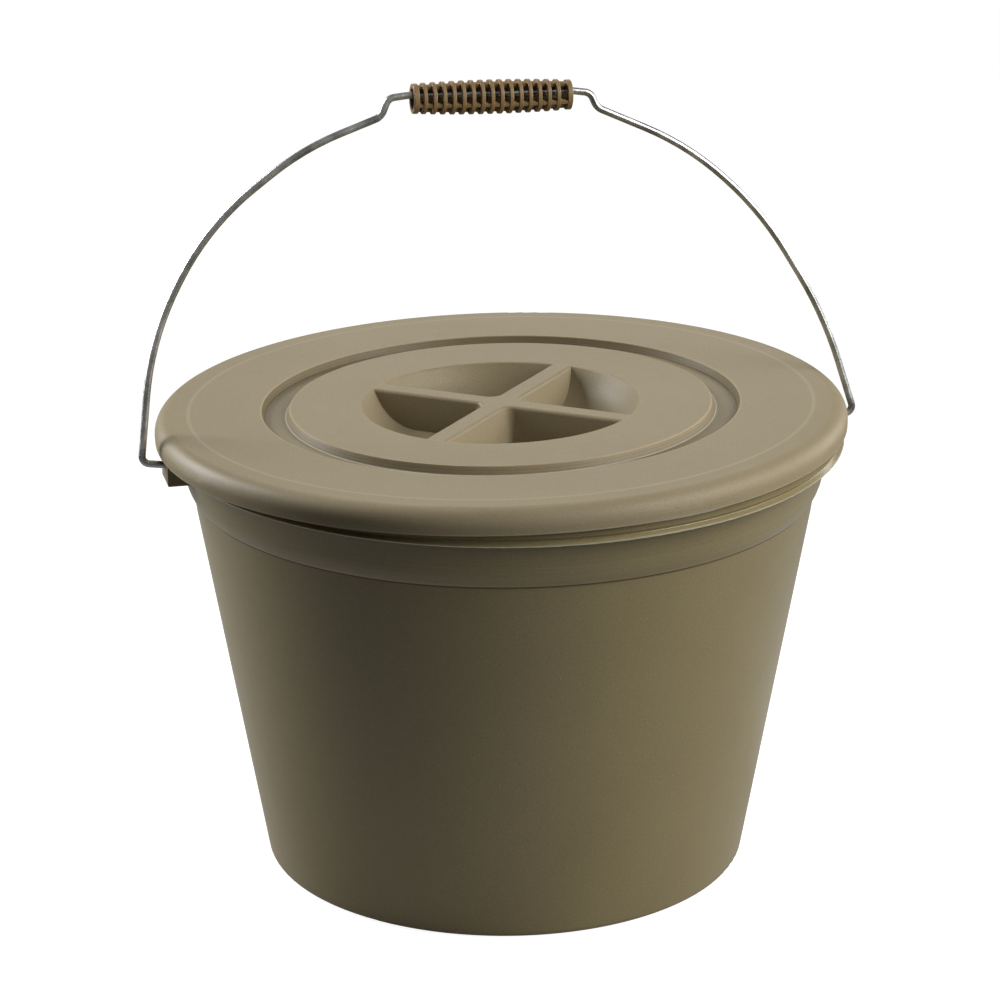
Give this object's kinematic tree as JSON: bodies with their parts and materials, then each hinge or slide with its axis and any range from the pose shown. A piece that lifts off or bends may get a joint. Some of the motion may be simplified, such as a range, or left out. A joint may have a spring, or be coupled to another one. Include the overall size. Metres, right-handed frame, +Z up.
{
  "type": "bucket with lid",
  "caption": "Round tapered plastic bucket with a rolled rim, a loose lid with a cross-barred finger bowl, and a swinging wire handle with a ribbed grip.",
  "frame": {"origin": "centre of the bucket's base, on the ground it stands on", "axes": "+Z up along the bucket's axis; X along the line through the two ears, about which the handle swings; -Y is the front"},
  "size_m": [0.4088, 0.3837, 0.4403],
  "materials": {
    "bucket_plastic": "olive drab moulded plastic, slightly glossy, with fine scuffs",
    "lid_plastic": "olive drab moulded plastic, satin, with turned tool lines in the groove",
    "wire": "drawn zinc-plated steel wire",
    "grip_plastic": "olive brown moulded plastic"
  },
  "bodies": {
    "bucket": {"bucket": "bucket_plastic"},
    "lid": {"lid": "lid_plastic"},
    "handle": {"handle_wire": "wire"},
    "grip": {"handle_grip": "grip_plastic"}
  },
  "joints": [
    {"name": "handle_swing", "type": "hinge", "parent": "bucket", "child": "handle", "pos_m": [0, 0, 0.241], "axis": [1, 0, 0], "range_deg": [-51, 66]},
    {"name": "grip_spin", "type": "hinge", "parent": "handle", "child": "grip", "pos_m": [-0.00096, 0.02327, 0.43048], "axis": [0.9996, -0.0035, -0.0282], "continuous": true},
    {"name": "lid_lift", "type": "slide", "parent": "bucket", "child": "lid", "axis": [0, 0, 1], "range_m": [0, 0.005]}
  ]
}
